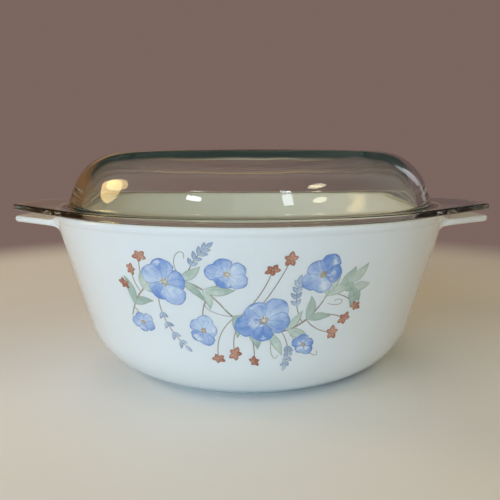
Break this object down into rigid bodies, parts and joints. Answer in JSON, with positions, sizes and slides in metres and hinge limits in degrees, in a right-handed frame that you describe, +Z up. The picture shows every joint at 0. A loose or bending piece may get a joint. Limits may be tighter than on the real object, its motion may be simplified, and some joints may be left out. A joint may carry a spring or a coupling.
{
  "type": "covered casserole dish",
  "caption": "Round covered casserole: opal-glass dish with side lugs and a flat-topped clear-glass lid that lifts off.",
  "frame": {"origin": "centre of the foot, on the plane the dish stands on", "axes": "+Z up, +X from lug to lug, -Y towards the printed front"},
  "size_m": [0.2796, 0.23, 0.124],
  "materials": {
    "opal_glass": "glossy white opal glass with a coloured floral enamel print",
    "clear_glass": "clear pressed glass, fire-polished"
  },
  "bodies": {
    "dish": {"dish": "opal_glass"},
    "lid": {"lid": "clear_glass"}
  },
  "joints": [
    {"name": "lid_lift", "type": "slide", "parent": "dish", "child": "lid", "axis": [0, 0, 1], "range_m": [0, 0.1]}
  ]
}
